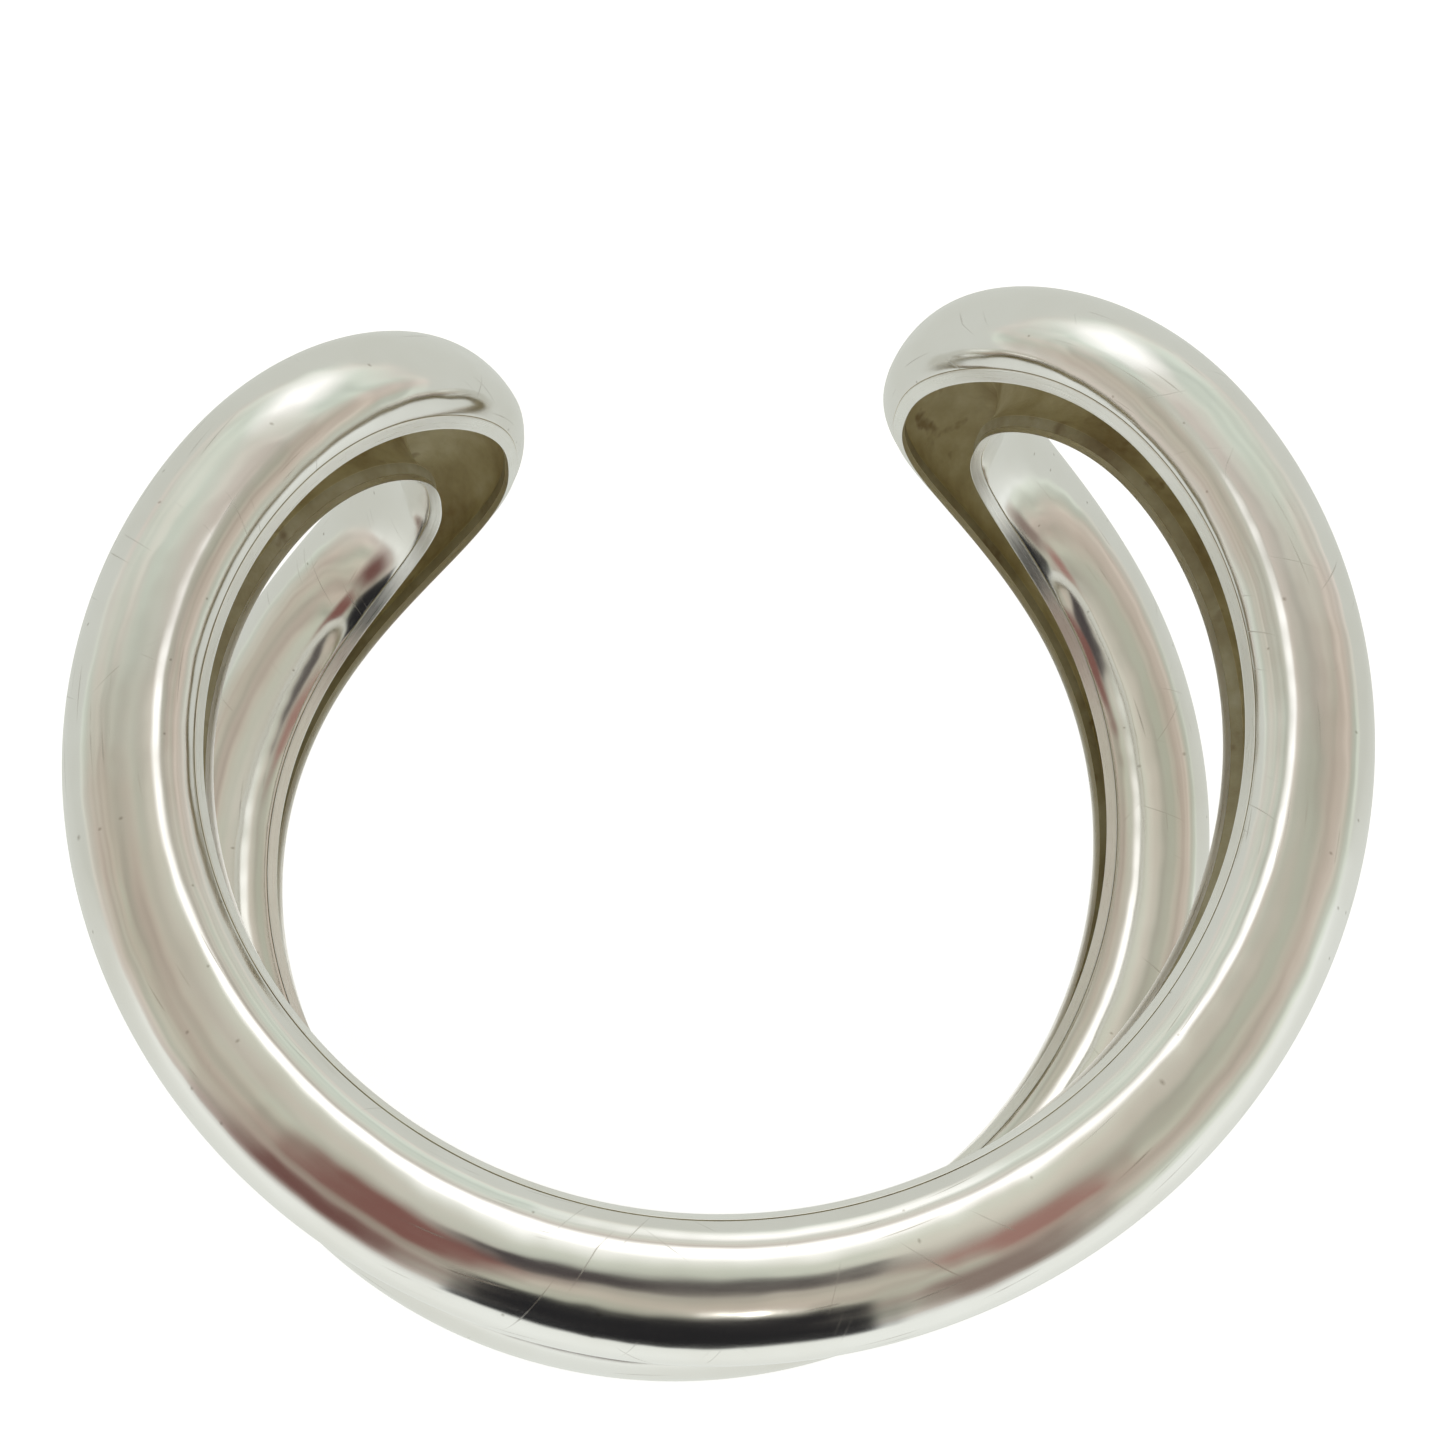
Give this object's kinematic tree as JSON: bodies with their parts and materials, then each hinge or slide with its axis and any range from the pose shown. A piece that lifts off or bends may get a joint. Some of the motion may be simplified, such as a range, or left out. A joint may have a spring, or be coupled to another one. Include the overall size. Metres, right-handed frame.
{
  "type": "open cuff bracelet",
  "caption": "Polished silver open cuff: a long oval loop of hollow-backed tube wrapped round the wrist, with a slot between its rails.",
  "frame": {"origin": "under the middle of the cuff, at the height of its lowest point, with the cuff lying on its lower edge", "axes": "+Z along the wrist, +Y towards the gap between the terminals, +X towards the right terminal"},
  "size_m": [0.0734, 0.0664, 0.0532],
  "materials": {
    "polished_silver": "mirror polished, lightly scratched"
  },
  "bodies": {
    "root": {"upper_rail_shell": "polished_silver", "lower_rail_shell": "polished_silver", "left_terminal_shell": "polished_silver", "right_terminal_shell": "polished_silver", "outer_rim_strip": "polished_silver", "slot_rim_strip": "polished_silver"}
  },
  "joints": []
}
